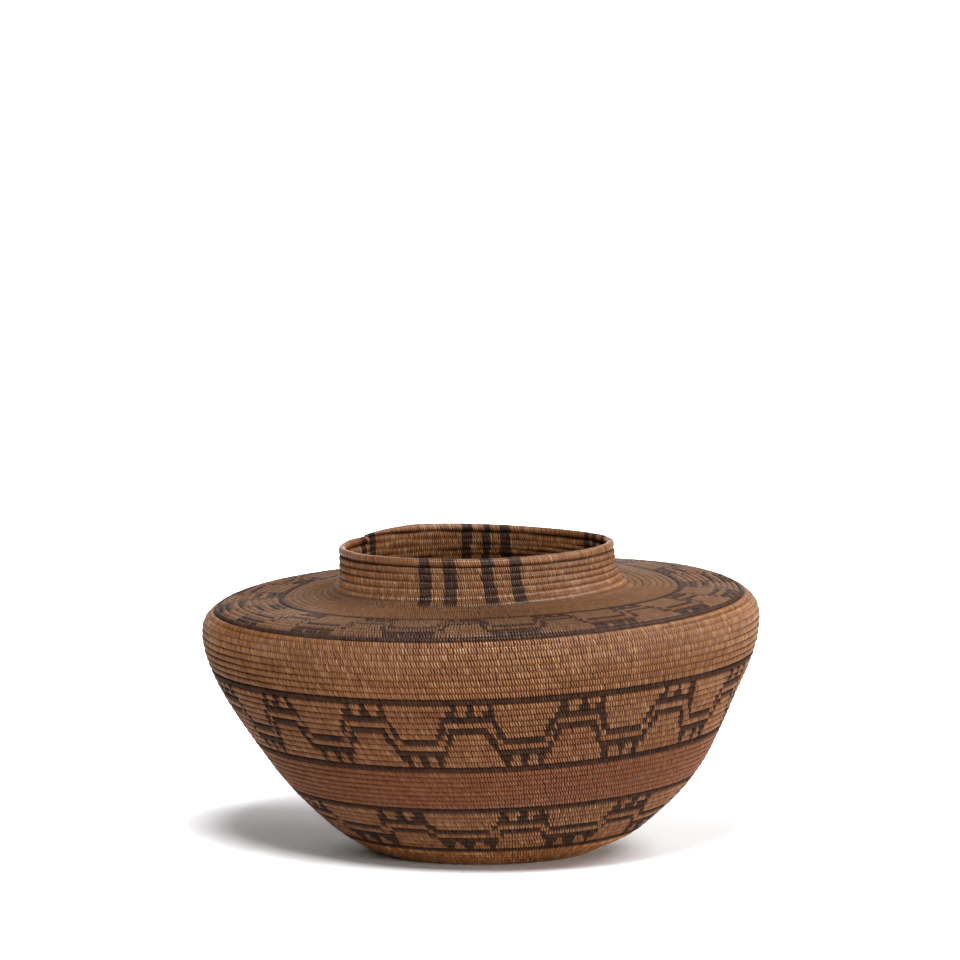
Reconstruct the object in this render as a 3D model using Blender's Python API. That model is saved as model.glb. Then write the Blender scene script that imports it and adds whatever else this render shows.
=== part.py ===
# A bottleneck basket, coiled from one bundle of grass stems and sewn with root.
# It is built as the lengths of that one climbing coil, from the start knot in the
# middle of the base to the coil's end on the rim. The wall is one outline, and
# each length is the stretch of it that holds its turns, a little higher all the
# way round, with a step of one turn where the length begins and ends.
# Metres, +Z up, with the origin under the middle of the flat base.

import math

import bmesh
import bpy
import numpy as np
from mathutils import Vector
from mathutils.geometry import interpolate_bezier

# Sizes of the whole basket
BASE_RADIUS = 0.070
BODY_RADIUS = 0.186
WIDEST_HEIGHT = 0.153
SHOULDER_RISE = 0.0245
NECK_RADIUS = 0.092
NECK_FLARE = 0.0078
NECK_HEIGHT = 0.0235
SHOULDER_HEIGHT = WIDEST_HEIGHT + SHOULDER_RISE

# Sizes of the coil
WALL = 0.005
GROOVE = 0.0011
RIM_COIL = 0.0064
COIL_END = 0.045
KNOT_RADIUS = 0.0085
SEAM_GAP = 0.0003

# Where each turn begins and the coil ends on the rim, in degrees round from +X
END_ANGLE = 146

# How far the maker's hand let the wall lean to +X and wander sideways
LEAN_RISE = 0.00645
LEAN_HEIGHT = 0.110
NECK_SETTLE = 0.00405
FOOT_SWAY = 0.003
FOOT_HEIGHT = 0.016
BELLY_SWAY = 0.0021
BELLY_HEIGHT = 0.058
RIM_SWAY = -0.0074
BACK_LIFT = 0.0044
BACK_DEPTH = 0.130
BACK_HEIGHT = 0.140
BACK_ROLL = 0.0026
TURN_SLIDE = 0.0045

# Places on the outside of the wall, as shares of the way from the base's edge
# to the widest place: outwards, then upwards
wall_shares = {
    "turn_up": (0.060, 0.014),
    "foot": (0.121, 0.038),
    "foot_line": (0.244, 0.088),
    "lower_figures": (0.388, 0.178),
    "lower_line": (0.547, 0.301),
    "waist": (0.626, 0.379),
    "middle_line": (0.7255, 0.502),
    "upper_figures": (0.832, 0.647),
    "upper_line": (0.945, 0.817),
    "side": (0.992, 0.930),
    "widest": (1.0, 1.0),
}
# The same from the widest place to the foot of the neck: inwards, then upwards
shoulder_shares = {
    "turn": (0.020, 0.335),
    "shoulder_line": (0.095, 0.595),
    "outer_top": (0.225, 0.735),
    "figures_top": (0.400, 0.795),
    "collar_line": (0.592, 0.825),
    "collar": (0.820, 0.905),
}
# And up the neck: how much of its flare is left, then upwards
neck_shares = {
    "neck_foot": (1.0, 0.0),
    "neck_bend": (0.48, 0.16),
    "neck_side": (0.17, 0.40),
    "neck_waist": (0.02, 0.70),
    "neck_top": (0.0, 1.0),
}
# How far the turns slide up the wall there, in shares of TURN_SLIDE: at the front and
# the back, the more towards +X, and the more at both sides
slide_shares = {
    "foot_line": (0.15, 0.45, 0.9),
    "lower_line": (-0.12, 0.55, 0.8),
    "middle_line": (-0.27, 0.0, 1.2),
    "upper_line": (-0.23, -0.28, 1.0),
    "shoulder_line": (-0.47, -0.08, 1.25),
    "collar_line": (0.0, -0.55, 0.6),
}
back_lean_share = 0.15  # of BACK_LIFT: how much more of it there is towards +X
rounding_share = 0.5  # of the wall: how far in the knot's upper edge is rounded
turn_middle_share = 0.5  # of a course: from a coil's groove to its middle
end_taper_share = 0.15  # of the rim coil's thickness: what is left at the coil's tip
thickening_share = 0.04  # of a turn: how soon the rim coil has its full thickness

# Lengths of the coil on the wall, from the base up: node, material, courses, and
# the place on the outline where its middle or, marked "end", its upper end lies
LENGTHS = (
    ("foot_coils", "light_root", 5, None),
    ("foot_line", "dark_root", 1, "foot_line"),
    ("lower_figure_band", "figured_root", 9, None),
    ("lower_line", "dark_root", 1, "lower_line"),
    ("waist_coils", "light_root", 8, None),
    ("middle_line", "dark_root", 1, "middle_line"),
    ("upper_figure_band", "figured_root", 11, None),
    ("upper_line", "dark_root", 1, "upper_line"),
    ("shoulder_turn_coils", "light_root", 9, None),
    ("shoulder_line", "dark_root", 1, "shoulder_line"),
    ("shoulder_figure_band", "figured_root", 9, None),
    ("collar_line", "dark_root", 1, "collar_line"),
    ("collar_coils", "light_root", 7, "end neck_foot"),
    ("neck_coils", "barred_root", 6, "end neck_top"),
)
# The same in the flat base, from the start knot outwards
BASE_LENGTHS = (("base_coils", 8), ("base_edge_coils", 5))
BASE_TURNS = 13

# Points this close are one point
WELD = 0.00001

# Counts that set how fine the solids are
AROUND = 30
PER_SPAN = 10
RIM_POINTS = 40
END_POINTS = 7

MATERIALS = {
    "light_root": ((0.33, 0.17, 0.085, 1), 0.55),
    "figured_root": ((0.24, 0.125, 0.07, 1), 0.55),
    "barred_root": ((0.30, 0.155, 0.08, 1), 0.5),
    "dark_root": ((0.035, 0.027, 0.024, 1), 0.6),
    "base_root": ((0.26, 0.14, 0.075, 1), 0.65),
}


def clear_scene():
    for obj in list(bpy.data.objects):
        bpy.data.objects.remove(obj, do_unlink=True)


def knots_of_outline():
    # The named places on the outside, from the base's edge to the top of the neck
    foot_radius = NECK_RADIUS + NECK_FLARE
    out = BODY_RADIUS - BASE_RADIUS
    knots = {"base_edge": Vector((BASE_RADIUS, 0))}
    for name, (outwards, upwards) in wall_shares.items():
        knots[name] = Vector((BASE_RADIUS + out * outwards, WIDEST_HEIGHT * upwards))
    for name, (inwards, upwards) in shoulder_shares.items():
        radius = BODY_RADIUS - (BODY_RADIUS - foot_radius) * inwards
        knots[name] = Vector((radius, WIDEST_HEIGHT + SHOULDER_RISE * upwards))
    for name, (flare, upwards) in neck_shares.items():
        knots[name] = Vector((NECK_RADIUS + NECK_FLARE * flare,
                              SHOULDER_HEIGHT + NECK_HEIGHT * upwards))
    return knots


def direction(before, here, after):
    # The way a circle through the three points runs at the middle one
    back, ahead = here - before, after - here
    return (back.normalized() * ahead.length + ahead.normalized() * back.length).normalized()


class Outline:
    # The outside of the wall as a smooth curve, measured along its length

    def __init__(self, knots):
        places = list(knots.values())
        # It leaves the flat base level and reaches the rim upright
        first, last = Vector((1, 0)), Vector((0, 1))
        row = [places[0], *places, places[-1]]
        points = []
        self.knot_at = {}
        starts = []
        for i in range(1, len(row) - 2):
            here, there = row[i], row[i + 1]
            span = (there - here).length / 3
            leaving = first if i == 1 else direction(row[i - 1], here, there)
            arriving = last if i == len(row) - 3 else direction(here, there, row[i + 2])
            leave, arrive = here + leaving * span, there - arriving * span
            curve = interpolate_bezier(here, leave, arrive, there, PER_SPAN + 1)
            starts.append(len(points))
            points += [(p.x, p.y) for p in curve[:-1]]
        starts.append(len(points))
        points.append((places[-1].x, places[-1].y))
        self.points = np.array(points)
        steps = np.linalg.norm(np.diff(self.points, axis=0), axis=1)
        self.along = np.concatenate([[0], np.cumsum(steps)])
        for name, start in zip(knots, starts):
            self.knot_at[name] = self.along[start]
        ahead = np.gradient(self.points, self.along, axis=0)
        ahead /= np.linalg.norm(ahead, axis=1)[:, None]
        self.outward = np.stack([ahead[:, 1], -ahead[:, 0]], axis=1)
        self.outward[0] = (0, -1)
        self.outward[-1] = (1, 0)

    def place(self, distance, depth):
        # A point of the wall's section: so far along the outline, so deep in the wall.
        # Before its start it is the level base, and past its end it goes straight on up.
        spot = [np.interp(distance, self.along, self.points[:, k]) for k in (0, 1)]
        normal = [np.interp(distance, self.along, self.outward[:, k]) for k in (0, 1)]
        under, over = min(distance, 0), max(distance - self.along[-1], 0)
        return Vector((spot[0] + under - normal[0] * depth, spot[1] + over - normal[1] * depth))


class Seams:
    # How far along the outline each course lies, counted from the edge of the base

    def __init__(self, outline):
        pitch = (BASE_RADIUS - KNOT_RADIUS) / BASE_TURNS
        before = BASE_TURNS + 1
        still = (0, 0, 0)
        courses, places, slides = [-before, 0], [-before * pitch, 0], [still, still]
        count = 0
        for _, _, turns, mark in LENGTHS:
            if mark:
                place = mark.removeprefix("end ")
                courses.append(count + (turns if mark.startswith("end ") else turns / 2))
                places.append(outline.knot_at[place])
                slides.append(slide_shares.get(place, still))
            count += turns
        # The rim coil lies on the last course, so that course goes on at its own pitch
        step = (places[-1] - places[-2]) / (courses[-1] - courses[-2])
        self.courses = [*courses, count + 1]
        self.places = [*places, places[-1] + step]
        self.slides = np.array([*slides, still])

    def at(self, course, share):
        # The hand-wound turns dip at the front and the back and climb at both sides
        across = math.cos(turn_angle(share))
        level, towards, sides = (np.interp(course, self.courses, self.slides[:, k])
                                 for k in range(3))
        slide = TURN_SLIDE * (level + towards * across + sides * across ** 2)
        return np.interp(course, self.courses, self.places) + slide


def turn_angle(share):
    return math.radians(END_ANGLE) + math.tau * share


def smoothstep(share):
    share = min(max(share, 0), 1)
    return share * share * (3 - 2 * share)


def by_hand(point):
    # Leans and sways a true point as the maker's hand left it. The base stays flat.
    neck = smoothstep((point.z - SHOULDER_HEIGHT) / NECK_HEIGHT)
    rise = LEAN_RISE * smoothstep(point.z / LEAN_HEIGHT) - NECK_SETTLE * neck
    height = SHOULDER_HEIGHT + NECK_HEIGHT
    belly = math.sin(math.pi * min(point.z / (2 * BELLY_HEIGHT), 1)) ** 2
    sway = FOOT_SWAY * smoothstep(point.z / FOOT_HEIGHT)
    sway += BELLY_SWAY * belly + RIM_SWAY * (point.z / height) ** 2
    lift = BACK_LIFT * smoothstep(point.z / BACK_HEIGHT) * (1 - neck)
    lift *= smoothstep(point.y / BACK_DEPTH) * (1 + back_lean_share * point.x / BODY_RADIUS)
    # The back of the neck stands lower towards +X
    roll = BACK_ROLL * neck * smoothstep(point.y / NECK_RADIUS) * point.x / NECK_RADIUS
    lean = rise * point.x / BODY_RADIUS
    return Vector((point.x + sway, point.y, point.z + lean + lift - roll))


def material_named(name):
    found = bpy.data.materials.get(name)
    if found:
        return found
    colour, roughness = MATERIALS[name]
    made = bpy.data.materials.new(name)
    made.use_nodes = True
    shader = made.node_tree.nodes["Principled BSDF"]
    shader.inputs["Base Color"].default_value = colour
    shader.inputs["Roughness"].default_value = roughness
    shader.inputs["Metallic"].default_value = 0
    return made


def finished(name, solid, material):
    for vertex in solid.vertices:
        vertex.co = by_hand(vertex.co)
    solid.name = name
    solid.shade_smooth()
    solid.set_sharp_from_angle(angle=math.radians(50))
    solid.materials.append(material_named(material))
    obj = bpy.data.objects.new(name, solid)
    bpy.data.collections["bottleneck_basket"].objects.link(obj)
    return obj


def columns_of(radius):
    # Turns of the way round at which sections are drawn. The first and the last stand
    # half a gap each side of the place where every turn begins.
    gap = SEAM_GAP / (math.tau * radius)
    return np.linspace(0, 1, AROUND + 1) + np.linspace(gap, -gap, AROUND + 1)


def swung(point, share):
    # Columns stand as far outside the true round as the flats between them cut inside
    angle = turn_angle(share)
    radius = point.x * 2 / (1 + math.cos(math.pi / AROUND))
    return (radius * math.cos(angle), radius * math.sin(angle), point.y)


def coil_length(outline, seams, name, material, first, turns):
    # So many turns of the climbing coil as one body. One side has a ridge and a groove
    # for each turn: the outside of the wall, or the upper side of the base, which is
    # worn flat underneath. The other side is plain.
    flat = first < 0
    edges = 2 * turns
    radius = outline.place(seams.at(first, 0), 0).x
    points, ridged, plain = [], [], []

    def laid(share, course, side_depth, inset):
        # A whole course number is a coil's middle, so grooves lie half a turn from it
        distance = seams.at(course + share - turn_middle_share, share) + inset
        points.append(swung(outline.place(distance, side_depth), share))
        return len(points) - 1

    for share in columns_of(radius):
        insets = [SEAM_GAP / 2] + [0] * (edges - 1) + [-SEAM_GAP / 2]
        row = []
        for k, inset in enumerate(insets):
            cut = GROOVE if k % 2 == 0 else 0
            depth = WALL - cut if flat else cut
            row.append(laid(share, first + k / 2, depth, inset))
        ridged.append(row)
        depth = 0 if flat else WALL
        plain.append([laid(share, first + k / 2, depth, insets[k]) for k in range(0, edges + 1, 2)])

    faces = []

    def skin(near, far, near_plain, far_plain):
        # The faces between two columns, over the courses that both have
        for a, b, c, d in zip(near, far, far[1:], near[1:]):
            faces.append((a, b, c, d))
        for a, b, c, d in zip(near_plain, far_plain, far_plain[1:], near_plain[1:]):
            faces.append((d, c, b, a))
        faces.append((near[0], near_plain[0], far_plain[0], far[0]))
        faces.append((near[-1], far[-1], far_plain[-1], near_plain[-1]))

    for j in range(AROUND):
        skin(ridged[j], ridged[j + 1], plain[j], plain[j + 1])
    if turns > 1:
        # Past the place where turns begin, each one runs on as the next one up
        skin(ridged[-1][:-2], ridged[0][2:], plain[-1][:-1], plain[0][1:])
    faces.append((*ridged[0][:3], plain[0][1], plain[0][0]))
    faces.append((*ridged[-1][:-4:-1], plain[-1][-2], plain[-1][-1]))
    if flat:
        faces = [face[::-1] for face in faces]
    solid = bpy.data.meshes.new(name)
    solid.from_pydata(points, [], faces)
    return finished(name, solid, material)


def make_knot(outline, seams):
    # The start of the coil: a small disc that widens to where the first turn leaves it
    points, rows, faces = [(0, 0, WALL), (0, 0, 0)], [], []
    for share in columns_of(KNOT_RADIUS):
        distance = seams.at(share - turn_middle_share - BASE_TURNS, share) - SEAM_GAP / 2
        rounding = WALL * rounding_share
        section = [outline.place(distance - rounding, WALL),
                   outline.place(distance, WALL - GROOVE), outline.place(distance, 0)]
        rows.append([len(points) + k for k in range(3)])
        points += [swung(p, share) for p in section]
    for near, far in zip(rows, [*rows[1:], rows[0]]):
        faces.append((0, near[0], far[0]))
        faces += [(near[k], near[k + 1], far[k + 1], far[k]) for k in (0, 1)]
        faces.append((1, far[2], near[2]))
    solid = bpy.data.meshes.new("start_knot")
    solid.from_pydata(points, [], faces)
    return finished("start_knot", solid, "base_root")


def tube(name, points, thicknesses, material):
    # A round coil through the points, as thick at each as it says, leaned by hand
    curve = bpy.data.curves.new(name, "CURVE")
    curve.dimensions = "3D"
    curve.bevel_depth = RIM_COIL / 2
    curve.bevel_resolution = 3
    curve.use_fill_caps = True
    spline = curve.splines.new("POLY")
    spline.points.add(len(points) - 1)
    for spot, point, thickness in zip(spline.points, points, thicknesses):
        spot.co = (*point, 1)
        spot.radius = thickness / RIM_COIL
    guide = bpy.data.objects.new(name + "_route", curve)
    bpy.context.scene.collection.objects.link(guide)
    graph = bpy.context.evaluated_depsgraph_get()
    solid = bpy.data.meshes.new_from_object(guide.evaluated_get(graph))
    bpy.data.objects.remove(guide, do_unlink=True)
    bpy.data.curves.remove(curve)
    welded = bmesh.new()
    welded.from_mesh(solid)
    bmesh.ops.remove_doubles(welded, verts=welded.verts, dist=WELD)
    welded.to_mesh(solid)
    welded.free()
    return finished(name, solid, material)


def make_rim(outline, seams, courses):
    # The last turn thickens as it leaves the neck, and its end thins away over its start.
    # The flat ends of two lengths stand half a step off square, so they need more room.
    around = math.tau * (NECK_RADIUS - WALL / 2)
    gap = (SEAM_GAP + RIM_COIL / 2 * math.tau / RIM_POINTS) / around
    taper = COIL_END / around
    pitch = seams.at(courses, 0) - seams.at(courses - 1, 0)

    def route(shares, thicknesses):
        points = []
        for share, thickness in zip(shares, thicknesses):
            distance = seams.at(courses + share - turn_middle_share, share)
            distance += SEAM_GAP + thickness / 2
            points.append(swung(outline.place(distance, WALL / 2), share))
        return points

    shares = np.linspace(gap, 1 - taper, RIM_POINTS)
    full = [pitch + (RIM_COIL - pitch) * smoothstep(s / thickening_share) for s in shares]
    tube("rim_coil", route(shares, full), full, "barred_root")
    shares = np.linspace(1 - taper + gap, 1 - gap, END_POINTS)
    ends = np.linspace(1, end_taper_share, END_POINTS) * RIM_COIL
    tube("coil_end", route(shares, ends), ends, "light_root")


def build():
    clear_scene()
    parts = bpy.data.collections.new("bottleneck_basket")
    bpy.context.scene.collection.children.link(parts)
    outline = Outline(knots_of_outline())
    seams = Seams(outline)
    make_knot(outline, seams)
    count = -BASE_TURNS
    for name, turns in BASE_LENGTHS:
        coil_length(outline, seams, name, "base_root", count, turns)
        count += turns
    for name, material, turns, _ in LENGTHS:
        coil_length(outline, seams, name, material, count, turns)
        count += turns
    make_rim(outline, seams, count)


build()
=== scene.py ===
# Bottleneck basket: one coil of grass stems, sewn round with split root, from the
# start knot under the middle to the coil's end on the rim.
# Metres, +Z up. The side that faces -Y is the one in the photograph.

import math

import bpy
import numpy as np
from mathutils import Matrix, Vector


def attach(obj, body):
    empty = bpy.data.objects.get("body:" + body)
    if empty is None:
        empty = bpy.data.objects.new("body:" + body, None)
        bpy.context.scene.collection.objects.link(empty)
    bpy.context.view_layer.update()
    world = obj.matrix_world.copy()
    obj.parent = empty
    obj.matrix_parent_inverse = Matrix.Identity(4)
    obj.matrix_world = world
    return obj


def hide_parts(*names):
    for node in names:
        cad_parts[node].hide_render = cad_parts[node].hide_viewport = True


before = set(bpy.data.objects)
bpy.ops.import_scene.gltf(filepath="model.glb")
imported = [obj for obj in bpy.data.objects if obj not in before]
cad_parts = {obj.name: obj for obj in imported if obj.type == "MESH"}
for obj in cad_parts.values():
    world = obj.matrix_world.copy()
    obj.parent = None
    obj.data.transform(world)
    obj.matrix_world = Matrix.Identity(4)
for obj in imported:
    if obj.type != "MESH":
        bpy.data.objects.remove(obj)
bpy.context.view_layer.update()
rng = np.random.default_rng(11)
print("frame loaded")

basket = {
    "baseRadius": 0.070,
    "bodyRadius": 0.186,
    "widestHeight": 0.153,
    "shoulderHeight": 0.1775,
    "neckRadius": 0.092,
    "neckFlare": 0.0078,
    "neckHeight": 0.0235,
    "wall": 0.005,
    "knotRadius": 0.0085,
    "baseTurns": 13,
    "coilEndAngle": 146,    # degrees round from +X
    "spanPoints": 24,
    "pastEnds": 0.08,       # how far the outline goes on under the base and past the rim
}
# places on the outside of the wall, as shares outwards and upwards
wallPlaces = [
    (0.060, 0.014), (0.121, 0.038), (0.244, 0.088), (0.388, 0.178),
    (0.547, 0.301), (0.626, 0.379), (0.7255, 0.502), (0.832, 0.647),
    (0.945, 0.817), (0.992, 0.930), (1, 1),
]
shoulderPlaces = [
    (0.020, 0.335), (0.095, 0.595), (0.225, 0.735),
    (0.400, 0.795), (0.592, 0.825), (0.820, 0.905),
]
neckPlaces = [(1, 0), (0.48, 0.16), (0.17, 0.40), (0.02, 0.70), (0, 1)]
# course numbers whose place on the wall is known, with the number of that place
marks = [(5.5, 3), (15.5, 5), (24.5, 7), (36.5, 9), (46.5, 13), (56.5, 16), (64, 18), (70, 22)]
neckFoot, neckTop = marks[-2], marks[-1]
coilStart, rimStart, coilStop = -14.4, 70, 71      # courses

hand = {
    "leanRise": 0.00645,
    "leanHeight": 0.110,
    "neckSettle": 0.00405,
    "footSway": 0.003,
    "footHeight": 0.016,
    "bellySway": 0.0021,
    "bellyHeight": 0.058,
    "rimSway": -0.0074,
    "backLift": 0.0044,      # the shoulder stands a little higher at the back
    "backLean": 0.15,        # and the more towards +X
    "backRoll": 0.0026,      # but the neck's back stands lower there
    "backDepth": 0.130,
    "backHeight": 0.140,
    "wander": 0.00016,       # of the grooves, up and down
    "wanderFrom": 4,         # courses up, where it has grown to this
    "wanderWaves": [(3.17, 0.5, 1.3), (7.31, 0.3, 0), (13.7, 0.2, 0.6)],     # to a turn, share, phase
    "outOfRound": 0.0005,
    # its humps: how many to a turn, phase, how much that changes with height, share
    "humps": [(2, 0.5, 0, 0.6), (3, 2, 0, 0.4), (5, 0, 40, 0.5)],
    "roundUntil": 0.04,      # metres up, where they have grown to this
}


def smooth(share):
    share = np.clip(share, 0, 1)
    return share * share * (3 - 2 * share)


def wavesAlong(course, waves):
    return sum(share * np.sin(math.tau * number * course + phase) for number, share, phase in waves)


def humpsRound(angle, z):
    return sum(share * np.sin(number * angle + phase + turned * z)
               for number, phase, turned, share in hand["humps"])


def outlineOfWall():
    # the same curve as the solids': distance along it, place and outward direction
    b = basket
    foot = b["neckRadius"] + b["neckFlare"]
    out = b["bodyRadius"] - b["baseRadius"]
    rise = b["shoulderHeight"] - b["widestHeight"]
    knots = [(b["baseRadius"], 0)]
    knots += [(b["baseRadius"] + out * x, b["widestHeight"] * z) for x, z in wallPlaces]
    knots += [(b["bodyRadius"] - (b["bodyRadius"] - foot) * x, b["widestHeight"] + rise * z)
              for x, z in shoulderPlaces]
    knots += [(b["neckRadius"] + b["neckFlare"] * x, b["shoulderHeight"] + b["neckHeight"] * z)
              for x, z in neckPlaces]
    knots = [Vector(k) for k in knots]

    def heading(before, here, after):
        back, ahead = here - before, after - here
        return (back.normalized() * ahead.length + ahead.normalized() * back.length).normalized()

    ways = [Vector((1, 0))]
    ways += [heading(*knots[i - 1:i + 2]) for i in range(1, len(knots) - 1)]
    ways += [Vector((0, 1))]
    points, starts = [], []
    for i in range(len(knots) - 1):
        here, there = knots[i], knots[i + 1]
        third = (there - here).length / 3
        a, d = here + ways[i] * third, there - ways[i + 1] * third
        starts.append(len(points))
        for k in range(b["spanPoints"]):
            s = k / b["spanPoints"]
            points.append(here * (1 - s) ** 3 + a * 3 * s * (1 - s) ** 2
                          + d * 3 * s * s * (1 - s) + there * s ** 3)
    starts.append(len(points))
    points.append(knots[-1])
    points = np.array([tuple(p) for p in points])
    along = np.concatenate([[0], np.cumsum(np.linalg.norm(np.diff(points, axis=0), axis=1))])
    ahead = np.gradient(points, along, axis=0)
    ahead /= np.linalg.norm(ahead, axis=1)[:, None]
    outward = np.stack([ahead[:, 1], -ahead[:, 0]], axis=1)
    outward[0], outward[-1] = (0, -1), (1, 0)
    # it goes on level under the base and straight up past the rim
    span = b["pastEnds"]
    points = np.vstack([[points[0][0] - span, 0], points, [points[-1][0], points[-1][1] + span]])
    along = np.concatenate([[-span], along, [along[-1] + span]])
    outward = np.vstack([[0, -1], outward, [1, 0]])
    return points, along, outward, [along[s + 1] for s in starts]


outline, alongOutline, outwardOfOutline, placeOfKnot = outlineOfWall()
basePitch = (basket["baseRadius"] - basket["knotRadius"]) / basket["baseTurns"]
neckPitch = (placeOfKnot[neckTop[1]] - placeOfKnot[neckFoot[1]]) / (neckTop[0] - neckFoot[0])
beforeCoil, pastRim = -15, 4     # courses
markCourses = np.array([beforeCoil, 0] + [c for c, _ in marks] + [neckTop[0] + pastRim])
markPlaces = np.array([beforeCoil * basePitch, 0] + [placeOfKnot[k] for _, k in marks]
                      + [placeOfKnot[neckTop[1]] + pastRim * neckPitch])
# how far the turns slide up the wall: at the front and the back, towards +X, at both sides
slides = {
    "unit": 0.0045,
    "courses": [0, 5.5, 15.5, 24.5, 36.5, 46.5, 56.5, 64],
    "level": [0, 0.15, -0.12, -0.27, -0.23, -0.47, 0, 0],
    "towards": [0, 0.45, 0.55, 0, -0.28, -0.08, -0.55, 0],
    "sides": [0, 0.9, 0.8, 1.2, 1.0, 1.25, 0.6, 0],
}


def distanceAt(course, angle=0):
    # how far along the outline the middle of the coil is, when so many turns are wound
    level, towards, sides = (np.interp(course, slides["courses"], slides[k])
                             for k in ("level", "towards", "sides"))
    slide = slides["unit"] * (level + towards * np.cos(angle) + sides * np.cos(angle) ** 2)
    wave = wavesAlong(course, hand["wanderWaves"])
    wander = hand["wander"] * wave * smooth(course / hand["wanderFrom"])
    return np.interp(course, markCourses, markPlaces) + slide + wander


def placed(distance, depth, angle):
    # a point of the wall, so far along it and so deep in it, turned, and out of true as made by hand
    r, z = (np.interp(distance, alongOutline, outline[:, k])
            - depth * np.interp(distance, alongOutline, outwardOfOutline[:, k]) for k in (0, 1))
    body = smooth(z / hand["roundUntil"])
    r = r + hand["outOfRound"] * body * humpsRound(angle, z)
    x, y = r * np.cos(angle), r * np.sin(angle)
    neck = smooth((z - basket["shoulderHeight"]) / basket["neckHeight"])
    rise = hand["leanRise"] * smooth(z / hand["leanHeight"]) - hand["neckSettle"] * neck
    belly = np.sin(math.pi * np.clip(z / (2 * hand["bellyHeight"]), 0, 1)) ** 2
    top = basket["shoulderHeight"] + basket["neckHeight"]
    sway = (hand["footSway"] * smooth(z / hand["footHeight"]) + hand["bellySway"] * belly
            + hand["rimSway"] * (z / top) ** 2)
    lift = hand["backLift"] * smooth(z / hand["backHeight"]) * (1 - neck) * smooth(y / hand["backDepth"])
    lift *= 1 + hand["backLean"] * x / basket["bodyRadius"]
    lift -= hand["backRoll"] * neck * smooth(y / basket["neckRadius"]) * x / basket["neckRadius"]
    return np.stack([x + sway, y, z + rise * x / basket["bodyRadius"] + lift], axis=-1)


seam = math.radians(basket["coilEndAngle"])

# Figures. Each row is where the dark stitches run, in stitches from a crest's middle.
steppedRibbons = {
    "firstCourse": 25,
    "period": 38.6,
    "drift": 0.46,          # stitches counted up a leaning column, from row to row
    "rows": [   # from the top
        [(-7.5, -5), (-1, 1.1), (5.5, 7.8)],
        [(-8.4, -4.6), (-1.8, 2), (4.8, 8.8)],
        [(-9.3, 9.3)],
        [(-10.1, -7.9), (8.8, 11)],
        [(-10.4, -8.4), (-6.2, 7.8), (9.8, 12.1)],
        [(-10.8, -9), (-7, -4.7), (7.2, 9.6), (11.3, 13.5)],
        [(-7.6, -5.2), (8.6, 10.9), (13.5, 28.2)],
        [(-8.2, -6), (9.8, 12.2)],
        [(11.8, 32)],
        [(14.1, 17.8), (21.2, 24.4), (27.2, 31)],
        [(15.4, 17.6), (22.3, 24.3), (28.5, 30.5)],
    ],
    # degrees round from the photographed side
    "crests": [-72.5, -49.7, -26.1, -2.8, 21.9, 46.6, 71.3, 95.3,
               119.4, 143.4, 167.4, 191.4, 215.4, 239.5, 263.5],
}
lowerRibbons = {
    "firstCourse": 6,
    "period": 42,
    "drift": 0,
    "rows": [
        [(-8.2, -5.9), (-1.4, 1.1), (4.6, 7.7)],
        [(-8.9, -5), (-2.4, 1.8), (3.7, 8.5)],
        [(-9.2, 9.3)],
        [(-10.2, -8), (8.4, 10.8)],
        [(-6.9, 7.5), (10.4, 31)],
        [(-8, -6), (7.6, 9.8)],
        [(10, 34.6)],
        [(11, 16.9), (19.4, 25.4), (28.4, 34.2)],
        [(12.8, 16), (21.2, 24.8), (30.6, 33.4)],
    ],
    "crests": [-65, -27.1, 10.5, 46.6, 83.5, 118.8, 154, 189.3, 224.5, 259.8],
}
shoulderRibbons = {
    "firstCourse": 47,
    "period": 42,
    "drift": 0,
    "rows": [
        [(-8.5, -4.6), (-3.4, 2), (3.6, 8.3)],
        [(-9, 9)],
        [(-10.6, -8.4), (8.2, 10.4)],
        [(-11, -9), (-7, 7.2), (9, 11)],
        [(-11.4, -9.4), (-8, -6), (6.6, 8.8), (9.8, 11.8)],
        [(-8.4, -6.4), (7.4, 9.4), (11.6, 30.4)],
        [(-9.2, -7.2), (8.2, 10.4)],
        [(10.4, 31.6)],
        [(11.2, 17.2), (18.2, 24.4), (25.4, 31)],
    ],
    "crests": [-73.5, -50.5, -27.3, -3.75, 19.1, 42.4, 67.5, 91.8,
               116.2, 140.5, 164.8, 189.2, 213.5, 237.8, 262.2],
}
solidCourses = [5, 15, 24, 36, 46, 56]      # the dark lines
neckBars = {
    "firstCourse": 64,
    "drift": 0.15,          # degrees to the right for each course below the rim's
    # degrees: middles round from the photographed side, and half widths
    "middles": [-22.3, -11.6, 4.3, 16.1, 90, 105.6, 115.3, 121.8, 167.2, 175.6, 184.4, 232.5, 239.9],
    "halfWidths": [2.6, 2.6, 2.6, 2.5, 2.3, 2.3, 2.3, 2.3, 2.2, 1.6, 2.2, 2.3, 2.3],
}
frontBearing = 270      # of the photographed side, in degrees round from +X
edgeSlip = {"spread": 0.35, "most": 0.7}    # stitches that a figure's edge is out by


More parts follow.
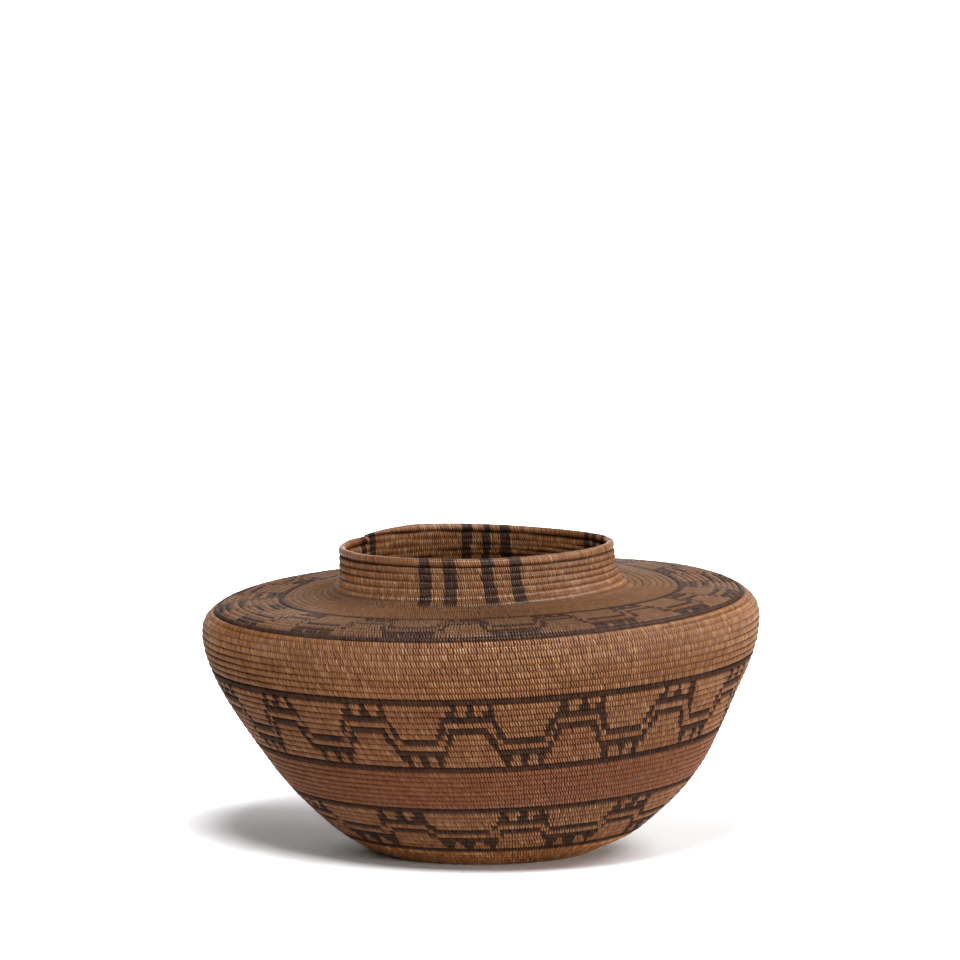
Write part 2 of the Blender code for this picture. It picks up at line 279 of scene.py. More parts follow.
def darkInFigure(figure, course, bearing):
    # which stitches are dark in one band, each edge of its figures a little out
    rows, period = figure["rows"], figure["period"]
    crests = np.array(figure["crests"])
    most = edgeSlip["most"]
    slips = rng.normal(0, edgeSlip["spread"], (len(crests), len(rows), 4, 2)).clip(-most, most)
    row = len(rows) - 1 - np.floor(course - figure["firstCourse"]).astype(int)
    inside = (row >= 0) & (row < len(rows))
    row = row.clip(0, len(rows) - 1)
    turned = (bearing - crests[0]) % 360
    steps = np.append(crests - crests[0], 360)
    crest = np.searchsorted(steps, turned, side="right") - 1
    stitch = (turned - steps[crest]) / (steps[crest + 1] - steps[crest]) * period + figure["drift"] * row
    dark = np.zeros(len(course), bool)
    for r, runs in enumerate(rows):
        here = inside & (row == r)
        for k, (start, stop) in enumerate(runs):
            # a run can reach back into the crests before its own
            for shift in (0, 1, 2):
                slip = slips[(crest[here] + shift) % len(crests), r, k]
                at = stitch[here] - shift * period
                dark[here] |= (at > start + slip[:, 0]) & (at < stop + slip[:, 1])
    return dark


def darkStitches(course, angle):
    # which stitches are sewn with dark root
    bearing = (np.degrees(angle) - frontBearing) % 360
    dark = np.isin(np.floor(course).astype(int), solidCourses)
    for figure in (lowerRibbons, steppedRibbons, shoulderRibbons):
        dark |= darkInFigure(figure, course, bearing)
    below = rimStart + 0.5 - course
    for middle, half in zip(neckBars["middles"], neckBars["halfWidths"]):
        off = (bearing - middle - neckBars["drift"] * below + 180) % 360 - 180
        dark |= (course >= neckBars["firstCourse"]) & (np.abs(off) < half)
    return dark


# Every stitch from the start knot to the coil's end
sewing = {
    # courses, and the value at each: metres, degrees, and the grooves' depth in millimetres
    "widths": ([-14, -10, -3, 20, 50, 58, 63, 71],
               [0.0016, 0.0018, 0.00185, 0.00185, 0.0019, 0.0017, 0.00145, 0.00144]),
    "leans": ([-14, 0, 20, 36, 46, 58, 64, 71], [13, 16, 18, 15, 12, 12, 12, 11]),
    "ridges": ([-14, 0, 20, 46, 50, 57, 62, 65, 71], [1, 1.2, 1.35, 1.5, 1.1, 0.8, 0.8, 1.4, 1.2]),
    # below each course, so many turns have one count of stitches
    "stretches": [(-14, 0.4), (0, 1), (10, 2), (coilStop, 3)],
    "newRoot": 0.055,           # chance at each stitch
    "lineTall": 0.9,            # of the dark lines' stitches, times the others'
    # how far single stitches differ: usual value and spread, then the least and the most
    "places": (0, 0.06, -0.14, 0.14),
    "fills": (0.91, 0.05, 0.78, 1.02),
    "leanSpread": 2,
    "proudSpread": 0.00006,
    "tallSpread": 0.035,
    "rootTone": 0.05,
    "stitchTone": 0.15,
}


def layStitches():
    # so many stitches to each stretch of turns, then every stitch with its own small faults
    courses = []
    start = coilStart
    while start < coilStop:
        turns = next(turns for end, turns in sewing["stretches"] if start < end)
        for limit in (rimStart, coilStop):
            if start < limit < start + turns:
                turns = limit - start
        middle = start + turns / 2
        radius = np.interp(np.interp(middle, markCourses, markPlaces), alongOutline, outline[:, 0])
        width = np.interp(middle, *sewing["widths"])
        below, above = np.interp([middle - 0.5, middle + 0.5], markCourses, markPlaces)
        pitch = above - below
        # each stitch's foot comes between two stitches of the course below
        offset = math.tan(math.radians(np.interp(middle, *sewing["leans"]))) * pitch / width - 0.5
        count = round(math.tau * radius / width) + offset
        courses.append(np.arange(0.5, turns * count) / count + start)
        start = round(start + turns, 3)
    course = np.concatenate(courses)
    gap = np.gradient(course)
    count = len(course)
    usual, spread, least, most = sewing["places"]
    course = course + gap * rng.normal(usual, spread, count).clip(least, most)
    run = np.cumsum(rng.random(count) < sewing["newRoot"])      # one root's length of stitches
    usual, spread, least, most = sewing["fills"]
    return {
        "course": course,
        "angle": seam + math.tau * course,
        "half": gap * math.pi * rng.normal(usual, spread, count).clip(least, most),
        "lean": np.radians(np.interp(course, *sewing["leans"])
                           + rng.normal(0, sewing["leanSpread"], count)),
        "ridge": np.interp(course, *sewing["ridges"]) * 0.001,
        "proud": rng.normal(0, sewing["proudSpread"], count),
        "tall": (rng.normal(1, sewing["tallSpread"], count)
                 * np.where(np.isin(np.floor(course), solidCourses), sewing["lineTall"], 1)),
        "tone": (rng.normal(0, sewing["rootTone"], run[-1] + 1)[run]
                 + rng.normal(0, sewing["stitchTone"], count)),
        "strand": rng.random(count),
    }


stitches = layStitches()
stitches["dark"] = darkStitches(stitches["course"], stitches["angle"])
print("stitches laid:", len(stitches["course"]), "dark:", int(stitches["dark"].sum()))

bead = {
    "across": [-1, -0.58, 0, 0.58, 1],
    # up the stitch: the part of a course, how deep it lies there, in grooves, and how wide it is
    "outside": [(-0.78, 1.05, 0.42), (-0.6, 0.85, 0.66), (-0.44, 0.5, 0.9), (-0.26, 0.15, 1), (0, 0, 1),
                (0.26, 0.15, 1), (0.42, 0.5, 0.92), (0.56, 1.1, 0.8)],
    "inside": [(-0.6, 1.4, 0.8), (-0.4, 0.55, 0.95), (-0.14, 0.04, 1),
               (0.14, 0.04, 1), (0.4, 0.55, 0.95), (0.6, 1.4, 0.8)],
    "plain": [(-0.56, 1.3, 1), (-0.22, 0.12, 1), (0.22, 0.12, 1), (0.56, 1.3, 1)],
    "crown": 0.0009,
    "insideRidge": 0.5,        # times the outside's
    "insideWander": 0.0004,
    "insideWaves": [(9.43, 1, 1), (17.7, 0.7, 0)],
    "insideLean": -0.6,
    "leastRadius": 0.002,      # where a stitch's lean is still worked out
}


def layBeads(pick, kind):
    # one strip of root over each picked stitch's course, crowned and tucked into the grooves
    s = {k: v[pick][:, None, None] for k, v in stitches.items()}
    inside = kind != "outside"
    u = np.array(bead["across"][::2] if kind == "plain" else bead["across"])[None, None, :]
    v, deep, wide = (np.array(column)[None, :, None] for column in zip(*bead[kind]))
    lean = s["lean"] * (bead["insideLean"] if inside else 1)
    turns = s["course"] + s["half"] * u / math.tau
    straight = s["angle"] + s["half"] * u
    distance = distanceAt(turns + v * s["tall"], straight)
    if inside:
        distance = distance + bead["insideWander"] * wavesAlong(turns, bead["insideWaves"])
    radius = np.interp(distance, alongOutline, outline[:, 0]).clip(bead["leastRadius"])
    pitch = distanceAt(s["course"] + 0.5, s["angle"]) - distanceAt(s["course"] - 0.5, s["angle"])
    angle = s["angle"] + s["half"] * u * wide - np.tan(lean) * v * pitch / radius
    ridge = s["ridge"] * (bead["insideRidge"] if inside else 1)
    depth = ridge * deep + bead["crown"] * wide * u * u - s["proud"]
    if inside:
        depth = basket["wall"] - depth
    points = placed(distance, depth, angle)
    return points, np.broadcast_to(u, distance.shape), np.broadcast_to(2 * v, distance.shape), inside


rim = {
    "thickness": 0.0064,
    "startShare": 0.7,          # of the way from a turn's height to its own, at the start
    "thickensOver": 0.04,       # of a turn, at the start
    "taperLength": 0.045,
    "tipShare": 0.42,
    "along": [-1, -0.84, -0.66, -0.48, -0.3, -0.1, 0.1, 0.3, 0.48, 0.66, 0.84, 1],
    "wraps": (-72, 252),        # degrees round the coil, from outside below to inside below
    "flat": 0.8,                # its thickness through the wall, as a share of its height
    "sunk": 0.0004,             # into the groove of the turn below
    "crown": 0.0004,
    "lean": 0.0017,
    "tuck": (0.0007, 0.8),      # how deep a stitch's ends go in, and from which share of it
    "sewn": 0.00055,            # the stitches' thickness over the bundle
    "shown": 1.1,               # how far up a stitch the finish takes its ends to be
}


def rimThickness(course):
    begin = smooth((course - rimStart) / rim["thickensOver"])
    taper = rim["taperLength"] / (math.tau * basket["neckRadius"])
    end = np.clip((coilStop - course) / taper, 0, 1)
    grown = rim["startShare"] + (1 - rim["startShare"]) * begin
    full = neckPitch + (rim["thickness"] - neckPitch) * grown
    return full * (rim["tipShare"] + (1 - rim["tipShare"]) * end)


def rimPoint(course, angle, radius, around):
    # a point round the last turn's own middle line
    lift = distanceAt(course - 0.5) + rimThickness(course) / 2 - rim["sunk"]
    return placed(lift + radius * np.sin(around),
                  basket["wall"] / 2 - rim["flat"] * radius * np.cos(around), angle)


def layRimBeads(pick):
    # the rim's stitches go nearly all round the coil
    s = {k: v[pick][:, None, None] for k, v in stitches.items()}
    u = np.array(bead["across"])[None, None, :]
    v = np.array(rim["along"])[None, :, None]
    low, high = rim["wraps"]
    around = np.radians(low + (high - low) * (v + 1) / 2) + 0 * u
    turns = s["course"] + s["half"] * u / math.tau + 0 * v
    angle = s["angle"] + s["half"] * u - rim["lean"] * v / basket["neckRadius"]
    deep, near = rim["tuck"]
    tuck = deep * smooth((np.abs(v) - near) / (1 - near))
    radius = rimThickness(turns) / 2 - rim["crown"] * u * u - tuck + s["proud"]
    points = rimPoint(turns, angle, radius, around)
    return points, np.broadcast_to(u, turns.shape), np.broadcast_to(rim["shown"] * v, turns.shape), False


bundle = {
    "sides": 8,
    "perTurn": 120,
    "halfHeight": 0.58,     # courses, so that neighbours overlap
    "halfDepth": 0.0018,
    "perCell": 12,          # rings to a cell of the bake map
}


def layGrass(start, stop):
    # the bundle inside the stitches, as a flattened tube along the spiral
    sides = bundle["sides"]
    course = np.linspace(start, stop, max(4, round((stop - start) * bundle["perTurn"])))[:, None]
    around = (np.arange(sides) * math.tau / sides)[None, :]
    angle = seam + math.tau * course + 0 * around
    low = distanceAt(course - 0.5, angle)
    pitch = distanceAt(course + 0.5, angle) - low
    if start >= rimStart:
        return rimPoint(course, angle, rimThickness(course) / 2 - rim["sewn"], around)
    distance = low + pitch / 2 + bundle["halfHeight"] * pitch * np.sin(around)
    return placed(distance, basket["wall"] / 2 - bundle["halfDepth"] * np.cos(around), angle)


bakeMap = {"wide": 2.4, "margin": 0.06}      # a cell's height over its width, and its border


def mesh(name, points, faces, cells, corners, attributes):
    # quads only, with one cell of the bake map for each stitch or stretch of the bundle
    made = bpy.data.meshes.new(name)
    made.vertices.add(len(points))
    made.vertices.foreach_set("co", points.astype(np.float32).ravel())
    made.loops.add(faces.size)
    made.loops.foreach_set("vertex_index", faces.astype(np.int32).ravel())
    made.polygons.add(len(faces))
    made.polygons.foreach_set("loop_start", np.arange(0, faces.size, 4, dtype=np.int32))
    made.polygons.foreach_set("use_smooth", np.ones(len(faces), bool))
    for key, values in attributes.items():
        held = made.attributes.new(key, "FLOAT", "POINT")
        held.data.foreach_set("value", values.astype(np.float32).ravel())
    number = int(cells.max()) + 1
    columns = max(1, math.ceil(math.sqrt(number * bakeMap["wide"])))
    rows = math.ceil(number / columns)
    cell = np.stack([cells % columns, cells // columns], axis=-1)[:, None, :]
    margin = bakeMap["margin"]
    flat = (cell + margin + (1 - 2 * margin) * corners) / (columns, rows)
    made.uv_layers.new(name="OFBake").data.foreach_set("uv", flat.astype(np.float32).ravel())
    made.update(calc_edges=True)
    made.validate()
    obj = bpy.data.objects.new(name, made)
    bpy.context.scene.collection.objects.link(obj)
    return obj


def quadsOf(rows, columns):
    # one strip's quads, and where their corners are in its cell of the bake map
    r, c = np.meshgrid(np.arange(rows - 1), np.arange(columns - 1), indexing="ij")
    first = (r * columns + c).ravel()
    quads = np.stack([first, first + 1, first + columns + 1, first + columns], axis=-1)
    x = np.stack([c, c + 1, c + 1, c], axis=-1).reshape(-1, 4) / (columns - 1)
    y = np.stack([r, r, r + 1, r + 1], axis=-1).reshape(-1, 4) / (rows - 1)
    return quads, np.stack([x, y], axis=-1)


def beadsMesh(name, sets, pick):
    # the picked stitches' strips as one mesh, with what the finishes read of each
    points, faces, cells, corners = [], [], [], []
    values = {"tone": [], "strand": [], "across": [], "along": []}
    vertex = cell = 0
    for spots, u, v, inside in sets:
        number, rows, columns = spots.shape[:3]
        quads, square = quadsOf(rows, columns)
        if inside:
            quads, square = quads[:, ::-1], square[:, ::-1]
        step = np.arange(number)[:, None, None] * rows * columns
        faces.append((quads[None] + step + vertex).reshape(-1, 4))
        cells.append(np.repeat(np.arange(number) + cell, len(quads)))
        corners.append(np.tile(square, (number, 1, 1)))
        points.append(spots.reshape(-1, 3))
        for key, value in (("across", u), ("along", v)):
            values[key].append(value.reshape(-1))
        for key in ("tone", "strand"):
            values[key].append(np.repeat(stitches[key][pick], rows * columns))
        vertex += number * rows * columns
        cell += number
    joined = {key: np.concatenate(value) for key, value in values.items()}
    return mesh(name, np.concatenate(points), np.concatenate(faces), np.concatenate(cells),
                np.concatenate(corners), joined)


def grassMesh(name, start, stop):
    spots = layGrass(start, stop)
    rings, sides = spots.shape[:2]
    perCell = bundle["perCell"]
    r, c = np.meshgrid(np.arange(rings - 1), np.arange(sides), indexing="ij")
    r, c = r.ravel(), c.ravel()
    after = (c + 1) % sides
    faces = np.stack([r * sides + c, (r + 1) * sides + c,
                      (r + 1) * sides + after, r * sides + after], axis=-1)
    x = np.stack([c, c, c + 1, c + 1], axis=-1) / sides
    y = (np.stack([r, r + 1, r + 1, r], axis=-1) - (r // perCell * perCell)[:, None]) / perCell
    # the two ends are closed, each with three quads
    caps = [[0, 1, 2, 7], [2, 3, 6, 7], [3, 4, 5, 6]]
    last = (rings - 1) * sides
    ends = np.array(caps + [[last + k for k in cap[::-1]] for cap in caps])
    number = (rings - 2) // perCell + 1
    square = np.array([[0, 0], [1, 0], [1, 1], [0, 1]])
    cells = np.concatenate([r // perCell, number + np.arange(len(ends))])
    corners = np.concatenate([np.stack([x, y], axis=-1), np.tile(square, (len(ends), 1, 1))])
    return mesh(name, spots.reshape(-1, 3), np.concatenate([faces, ends]), cells, corners, {})


# Finishes. A Wire is a socket that sums can be written with.
class Wire:
    def __init__(self, bench, socket):
        self.bench, self.socket = bench, socket

    def sum(self, operation, first, second=None):
        inputs = {0: first} if second is None else {0: first, 1: second}
        return self.bench.node("ShaderNodeMath", {"operation": operation}, inputs)

    def __add__(self, other): return self.sum("ADD", self, other)
    def __radd__(self, other): return self.sum("ADD", other, self)
    def __sub__(self, other): return self.sum("SUBTRACT", self, other)
    def __rsub__(self, other): return self.sum("SUBTRACT", other, self)
    def __mul__(self, other): return self.sum("MULTIPLY", self, other)
    def __rmul__(self, other): return self.sum("MULTIPLY", other, self)
    def __abs__(self): return self.sum("ABSOLUTE", self)

    def between(self, low, high, start=0, stop=1):
        return self.bench.node("ShaderNodeMapRange", {"clamp": True, "interpolation_type": "SMOOTHSTEP"},
                               {0: self, 1: low, 2: high, 3: start, 4: stop})


class Bench:
    # builds one material
    def __init__(self, name):
        self.material = bpy.data.materials.new(name)
        self.material.use_nodes = True
        self.tree = self.material.node_tree
        self.surface = self.tree.nodes["Principled BSDF"]

    def node(self, kind, settings=None, inputs=None, out=0):
        made = self.tree.nodes.new(kind)
        for key, value in (settings or {}).items():
            if key == "stops":
                ramp = made.color_ramp.elements
                while len(ramp) < len(value):
                    ramp.new(0.5)
                for stop, (place, colour) in zip(ramp, value):
                    stop.position, stop.color = place, (*colour, 1)
            else:
                setattr(made, key, value)
        for key, value in (inputs or {}).items():
            self.feed(made.inputs[key], value)
        return Wire(self, made.outputs[out])

    def feed(self, socket, value):
        if isinstance(value, Wire):
            self.tree.links.new(value.socket, socket)
        elif isinstance(value, tuple) and len(value) == 3 and socket.type == "RGBA":
            socket.default_value = (*value, 1)
        else:
            socket.default_value = value

    def mix(self, share, first, second):
        return self.node("ShaderNodeMix", {"data_type": "RGBA", "clamp_factor": True},
                         {0: share, 6: first, 7: second}, out=2)

    def attribute(self, name):
        return self.node("ShaderNodeAttribute", {"attribute_name": name}, out="Fac")

    def noise(self, vector, scale, detail=2, rough=0.5):
        return self.node("ShaderNodeTexNoise", {"noise_dimensions": "3D"},
                         {"Vector": vector, "Scale": scale, "Detail": detail, "Roughness": rough})

    def place(self):
        return self.node("ShaderNodeNewGeometry", out="Position")

    def height(self):
        return self.node("ShaderNodeSeparateXYZ", inputs={0: self.place()}, out="Z")

    def relief(self, heights, strength, distance):
        inputs = {"Strength": strength, "Distance": distance, "Height": heights}
        return self.node("ShaderNodeBump", inputs=inputs, out="Normal")

    def finish(self, **inputs):
        for key, value in inputs.items():
            self.feed(self.surface.inputs[key.replace("_", " ")], value)
        return self.material


def shade(red, green, blue):
    # a colour's numbers in a picture, 0 to 255, as amounts of light
    return tuple(c / 12.92 if c <= 0.04045 else ((c + 0.055) / 1.055) ** 2.4
                 for c in (red / 255, green / 255, blue / 255))


# both roots: fibres that run with the strand, raised a little, and its gloss, duller lower down
sewnRoot = {
    "fibres": (1, 3, 0.6),          # the noise's scale, detail and roughness
    "acrossScale": 5,
    "alongScale": 0.8,
    "strandSteps": (91, 37, 53),    # to another part of the noise for each strand
    "relief": (0.5, 0.00012),
    "glossAcross": (0.7, 0.1),      # from the strand's edge to its middle
    "glossAlong": (1.1, 0.7),       # and down to where it is tucked in
    "glossUp": (0.135, 0.17),       # metres, from the dull part to the glossy one
    "coatIor": 1.65,
}


def strandFibres(bench):
    across, along, strand = (bench.attribute(k) for k in ("across", "along", "strand"))
    x, y, z = sewnRoot["strandSteps"]
    vector = bench.node("ShaderNodeCombineXYZ", inputs={0: across * sewnRoot["acrossScale"] + strand * x,
                                                        1: along * sewnRoot["alongScale"] + strand * y,
                                                        2: strand * z})
    return bench.noise(vector, *sewnRoot["fibres"]), across, along


def strandColour(bench, share, stops):
    stops = [(k / (len(stops) - 1), stop) for k, stop in enumerate(stops)]
    return bench.node("ShaderNodeValToRGB", {"stops": stops}, {0: share})


def strandTuckShade(f, across, along, gapShade):
    # where a strand goes into the grooves, above and below, and the painted shade that darkens it there and
    # at its sides, between stitches
    tucked = along.between(*f["tuckAbove"]) + along.between(*f["tuckBelow"]) * f["tuckBelowShare"]
    return tucked, tucked * f["tuckShade"] + abs(across).between(*f["side"]) * gapShade


def strandGloss(f, across, along, height):
    gloss = abs(across).between(*sewnRoot["glossAcross"], 0, f["gloss"])
    gloss = gloss * along.between(*sewnRoot["glossAlong"])
    return gloss * height.between(*sewnRoot["glossUp"], f["glossLow"], 1)


def finishStrand(bench, f, colour, fibres, tucked, gloss):
    rough = f["roughness"] + (fibres - 0.5) * f["fibreRough"] + tucked * f["tuckRough"]
    raised = bench.relief(fibres, *sewnRoot["relief"])
    return bench.finish(Base_Color=colour, Roughness=rough, Normal=raised, Specular_IOR_Level=f["specular"],
                        Coat_Weight=gloss, Coat_Roughness=f["glossRoughness"], Coat_IOR=sewnRoot["coatIor"])


lightRoot = {
    "pale": shade(144, 106, 71),
    "middle": shade(111, 70, 37),
    "deep": shade(80, 42, 14),
    # painted shade, mixed in where a strand tucks into the grooves and at its sides between stitches
    "groove": shade(46, 18, 4),
    "patches": (22, 3, 0.55),
    "redLow": shade(95, 43, 15),
    "redFrom": (0.14, 0.09),        # metres up, from none to all of it
    # a greyer, darker brown, mixed in on the shoulder band, the collar, the base and the neck's foot
    "greyed": shade(74, 56, 43),
    "neckGrey": 0.75,               # at the neck's foot
    "greyDulls": 0.95,
    # paler with a stitch's tone, its fibres and the patch of wall that it is in
    "share": 0.48,
    "byTone": 0.9,
    "byFibre": 0.5,
    "byPatch": 0.4,
    # where that painted shade lies along a strand and across it towards its sides, and how dark it is
    "tuckAbove": (0.4, 1.05),
    "tuckBelow": (-0.9, -1.6),
    "tuckBelowShare": 0.3,
    "tuckShade": 0.55,
    "side": (0.25, 1.0),
    "roughness": 0.55,
    "fibreRough": 0.25,
    "tuckRough": 0.3,
    "specular": 0.06,
    "gloss": 1.0,
    "glossLow": 0.38,
    "glossRoughness": 0.17,
}


def makeLightRoot(name, lift=1.0, red=0.65, gapShade=0.72, greying=0.0, greyFoot=None):
    # paler by the first, redder on the lower wall by the next, then how dark the painted shade between
    # stitches is, then a greyer, darker brown, even or below a height
    f = lightRoot
    bench = Bench(name)
    fibres, across, along = strandFibres(bench)
    tone = bench.attribute("tone")
    patch = bench.noise(bench.place(), *f["patches"])
    height = bench.height()
    share = (f["share"] + tone * f["byTone"] + (fibres - 0.5) * f["byFibre"]
             + (patch - 0.5) * f["byPatch"])
    *stops, redLow = (tuple(c * lift for c in f[k]) for k in ("deep", "middle", "pale", "redLow"))
    colour = strandColour(bench, share, stops)
    colour = bench.mix(height.between(*f["redFrom"]) * red, colour, redLow)
    greying = height.between(*reversed(greyFoot), 0, f["neckGrey"]) if greyFoot else greying
    colour = bench.mix(greying, colour, f["greyed"])
    # painted shade where the strand tucks into the grooves and along its sides
    tucked, dark = strandTuckShade(f, across, along, gapShade)
    colour = bench.mix(dark, colour, f["groove"])
    gloss = strandGloss(f, across, along, height) * (1 - f["greyDulls"] * greying)
    return finishStrand(bench, f, colour, fibres, tucked, gloss)


darkRoot = {
    "pale": shade(66, 42, 28),
    "deep": shade(27, 15, 9),
    # painted shade, mixed in where a strand tucks into the grooves and at its sides between stitches
    "groove": shade(9, 5, 3),
    "share": 0.45,
    "byTone": 1.1,
    "byFibre": 0.9,
    # where that painted shade lies along and across a strand, and how dark it is
    "tuckAbove": (0.35, 1.05),
    "tuckBelow": (-0.7, -1.5),
    "tuckBelowShare": 0.5,
    "tuckShade": 0.6,
    "side": (0.3, 1.05),
    "gapShade": 0.6,
    "roughness": 0.5,
    "fibreRough": 0.3,
    "tuckRough": 0.3,
    "specular": 0.03,
    "gloss": 0.5,
    "glossLow": 0.2,
    "glossRoughness": 0.2,
}


def makeDarkRoot():
    f = darkRoot
    bench = Bench("dark_root")
    fibres, across, along = strandFibres(bench)
    tone = bench.attribute("tone")
    share = f["share"] + tone * f["byTone"] + (fibres - 0.5) * f["byFibre"]
    # painted shade where the strand tucks into the grooves and along its sides
    tucked, dark = strandTuckShade(f, across, along, f["gapShade"])
    colour = bench.mix(dark, strandColour(bench, share, [f["deep"], f["pale"]]), f["groove"])
    gloss = strandGloss(f, across, along, bench.height())
    return finishStrand(bench, f, colour, fibres, tucked, gloss)


grass = {
    # the bundle's colours are painted shade: it shows only deep between the stitches, and the dark between
    # its stems is painted shade too
    "shadedStem": shade(52, 28, 13),
    "gap": shade(16, 7, 3),
    "stems": 900,
    "gapEdge": (0.3, 0.8),
    "relief": (0.6, 0.0003),
    "roughness": 0.8,
    "specular": 0.1,
}


def makeGrass():
    bench = Bench("grass_bundle")
    stems = bench.noise(bench.place(), grass["stems"])
    # painted shade between the stems
    colour = bench.mix(stems.between(*grass["gapEdge"]), grass["gap"], grass["shadedStem"])
    return bench.finish(Base_Color=colour, Roughness=grass["roughness"],
                        Normal=bench.relief(stems, *grass["relief"]), Specular_IOR_Level=grass["specular"])


# Each light root's finish sets how dark the painted shade between its stitches is.
finishes = {
    "light": makeLightRoot("light_root"),
    # the foot's root made paler, without the lower wall's red: painted light from the floor's bounce
    "foot": makeLightRoot("foot_root_painted_bounce_light", lift=1.85, red=0.0, gapShade=0.5),
    "band": makeLightRoot("band_light_root", red=0.15, gapShade=0.55),
    "waist": makeLightRoot("waist_light_root", red=0.6, gapShade=0.5),
    "neck": makeLightRoot("neck_light_root", greyFoot=(0.174, 0.182)),
    "greyed": makeLightRoot("greyed_light_root", lift=1.16, greying=0.66),
    "base": makeLightRoot("base_light_root", greying=0.25),
    "dark": makeDarkRoot(),
    "grass": makeGrass(),
}
print("finishes made")

taperStart = coilStop - rim["taperLength"] / (math.tau * basket["neckRadius"])
# The lengths of the coil: node, first and last course, its slot, its light root
lengths = [
    ("start_knot", coilStart, -13, "base_sewing", "base"),
    ("base_coils", -13, -5, "base_sewing", "base"),
    ("base_edge_coils", -5, 0, "base_sewing", "base"),
    ("foot_coils", 0, 5, "light_sewing", "foot"),
    ("foot_line", 5, 6, "dark_sewing", "light"),
    ("lower_figure_band", 6, 15, "figured_sewing", "band"),
    ("lower_line", 15, 16, "dark_sewing", "light"),
    ("waist_coils", 16, 24, "light_sewing", "waist"),
    ("middle_line", 24, 25, "dark_sewing", "light"),
    ("upper_figure_band", 25, 36, "figured_sewing", "band"),
    ("upper_line", 36, 37, "dark_sewing", "light"),
    ("shoulder_turn_coils", 37, 46, "light_sewing", "light"),
    ("shoulder_line", 46, 47, "dark_sewing", "light"),
    ("shoulder_figure_band", 47, 56, "figured_sewing", "greyed"),
    ("collar_line", 56, 57, "dark_sewing", "light"),
    ("collar_coils", 57, 64, "light_sewing", "greyed"),
    ("neck_coils", 64, 70, "barred_sewing", "neck"),
    ("rim_coil", rimStart, taperStart, "barred_sewing", "neck"),
    ("coil_end", taperStart, coilStop, "light_sewing", "neck"),
]
# courses whose inside is modelled in full: the base and the foot, the collar and the neck
seenInside = {"below": 8, "from": 57}
# most stitches in one piece, with the inside's modelled in full or plainly
mostStitches = {"inside": 2200, "plain": 3100}


def dress(obj, node, finish):
    obj.data.materials.append(finishes[finish])
    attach(obj, "root")
    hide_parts(node)


def sew(node, start, stop, slotName, lightFinish):
    # the bundle first, then the light and the dark stitches round it
    dress(grassMesh(node + "_grass", start, stop), node, "grass")
    made = 1
    here = (stitches["course"] >= start) & (stitches["course"] < stop)
    within = "inside" if start < seenInside["below"] or start >= seenInside["from"] else "plain"
    most = mostStitches[within]
    for colour in ("light", "dark"):
        chosen = np.flatnonzero(here & (stitches["dark"] == (colour == "dark")))
        for n, pick in enumerate(np.array_split(chosen, max(1, math.ceil(len(chosen) / most)))):
            if not len(pick):
                continue
            if start >= rimStart:
                sets = [layRimBeads(pick)]
            else:
                sets = [layBeads(pick, "outside"), layBeads(pick, within)]
            name = f"{node}_{colour}_root" + (f"_{n + 1}" if len(chosen) > most else "")
            dress(beadsMesh(name, sets, pick), node,
                  "dark" if colour == "dark" else lightFinish)
            made += 1
    print("sewn:", node, made, "pieces,", int(here.sum()), "stitches")


for length in lengths:
    sew(*length)

# Floor, light and camera
studio = {
    "floor": shade(250, 250, 250),
    "reach": 9,         # the floor's half width
    "back": 7,          # how far back it goes
    "curve": 3,         # radius of the bend there
    "bendSteps": 24,
    "tall": 6,          # how high it goes on
    "grain": 300,
    "roughness": (0.9, 0.05),       # and how much the grain changes it
    "world": 0.1,
    # place, what it points at, size across and power
    "key": ((-0.08, -1.75, 2.35), (0, 0, 0.1), 0.9, 122),
    "side": ((1.75, -0.2, 2.1), (0, 0, 0.1), 1.4, 57),
    "front": ((1.8, -2.1, 0.4), (0, 0, 0.05), 0.9, 58),
    "backdrop": ((0, 1.9, 3.0), (0, 5.2, 1.0), 3.0, 700),
}


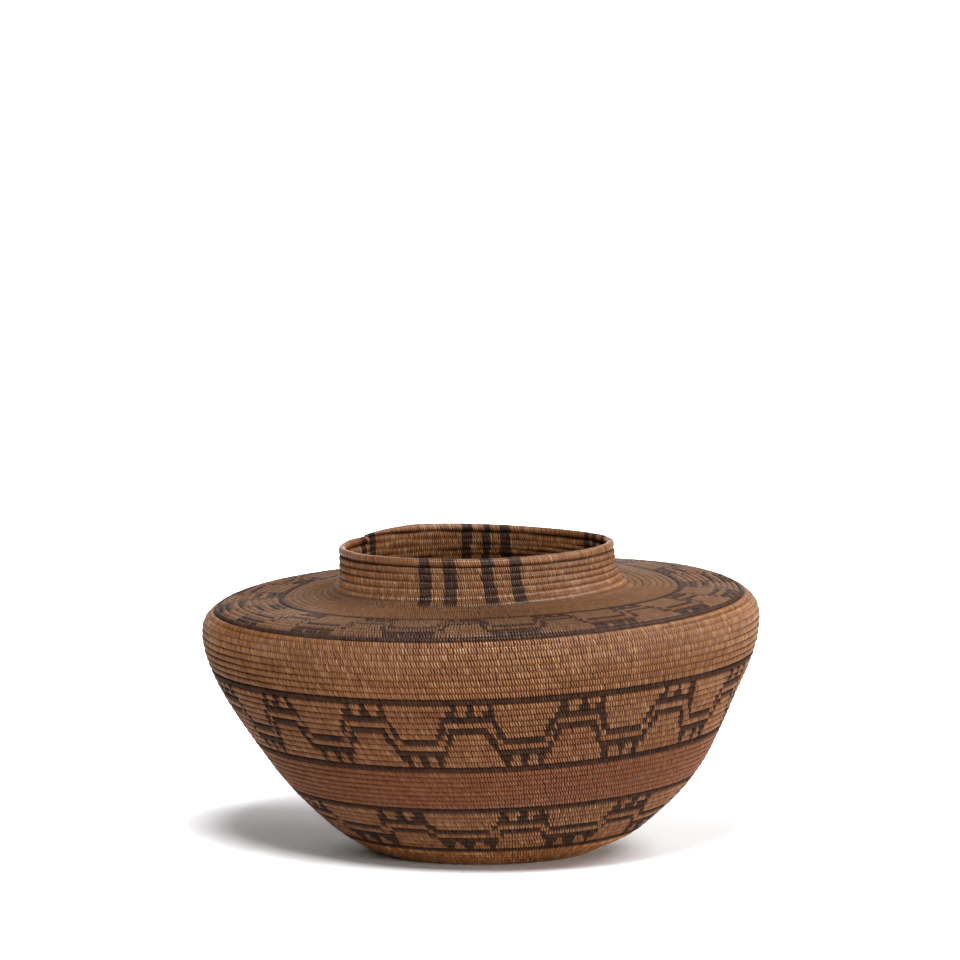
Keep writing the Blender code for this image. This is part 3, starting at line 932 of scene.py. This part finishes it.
def makeFloor():
    made = bpy.data.meshes.new("studio_floor")
    reach, back, curve, tall = (studio[k] for k in ("reach", "back", "curve", "tall"))
    bend = [(back - curve + curve * math.sin(a), curve - curve * math.cos(a))
            for a in np.linspace(0, math.pi / 2, studio["bendSteps"])]
    edge = [(-reach, 0)] + bend + [(back, tall)]
    points = [(x, y, z) for y, z in edge for x in (-reach, reach)]
    faces = [(2 * i, 2 * i + 1, 2 * i + 3, 2 * i + 2) for i in range(len(edge) - 1)]
    made.from_pydata(points, [], faces)
    made.shade_smooth()
    obj = bpy.data.objects.new("studio_floor", made)
    bpy.context.scene.collection.objects.link(obj)
    bench = Bench("studio_floor")
    usual, change = studio["roughness"]
    rough = usual + (bench.noise(bench.place(), studio["grain"]) - 0.5) * change
    made.materials.append(bench.finish(Base_Color=studio["floor"], Roughness=rough))


def addLight(name, at, towards, size, power):
    lamp = bpy.data.lights.new(name, "AREA")
    lamp.shape, lamp.size, lamp.energy = "DISK", size, power
    obj = bpy.data.objects.new(name, lamp)
    obj.location = at
    obj.rotation_euler = (Vector(towards) - Vector(at)).to_track_quat("-Z", "Y").to_euler()
    bpy.context.scene.collection.objects.link(obj)


makeFloor()
for lampName in ("key", "side", "front", "backdrop"):
    addLight(lampName, *studio[lampName])
world = bpy.data.worlds.new("studio")
world.use_nodes = True
sky = world.node_tree.nodes["Background"].inputs
sky["Strength"].default_value = studio["world"]
sky["Color"].default_value = (1, 1, 1, 1)
bpy.context.scene.world = world

view = {
    "elevation": 8,             # degrees
    "distance": 5.5,
    "pixelsPerMetre": 1497,     # at that distance
    "picture": 960,
    "middle": (-0.0017, 0, 0.100),
    "middleRow": 700.3,         # the pixel row that it is seen on
    "sensor": 36,
    "clipEnd": 60,
}


def addCamera():
    # it looks straight ahead at the photo's angle, with the basket low in the picture
    v = view
    drop = (v["middleRow"] - v["picture"] / 2) / v["pixelsPerMetre"]
    tilt = math.atan(drop / v["distance"])
    depth = v["distance"] * math.cos(tilt)
    lens = v["sensor"] * depth * v["pixelsPerMetre"] / v["picture"]
    data = bpy.data.cameras.new("camera")
    data.sensor_width, data.lens = v["sensor"], lens
    data.clip_end = v["clipEnd"]
    obj = bpy.data.objects.new("camera", data)
    up = math.radians(v["elevation"])
    away = Vector((0, -math.cos(up), math.sin(up))) * v["distance"]
    obj.location = Vector(v["middle"]) + away
    obj.rotation_euler = (math.pi / 2 - up + tilt, 0, 0)
    bpy.context.scene.collection.objects.link(obj)
    bpy.context.scene.camera = obj


addCamera()
bpy.context.scene.view_settings.view_transform = "Standard"
print("lit and framed")
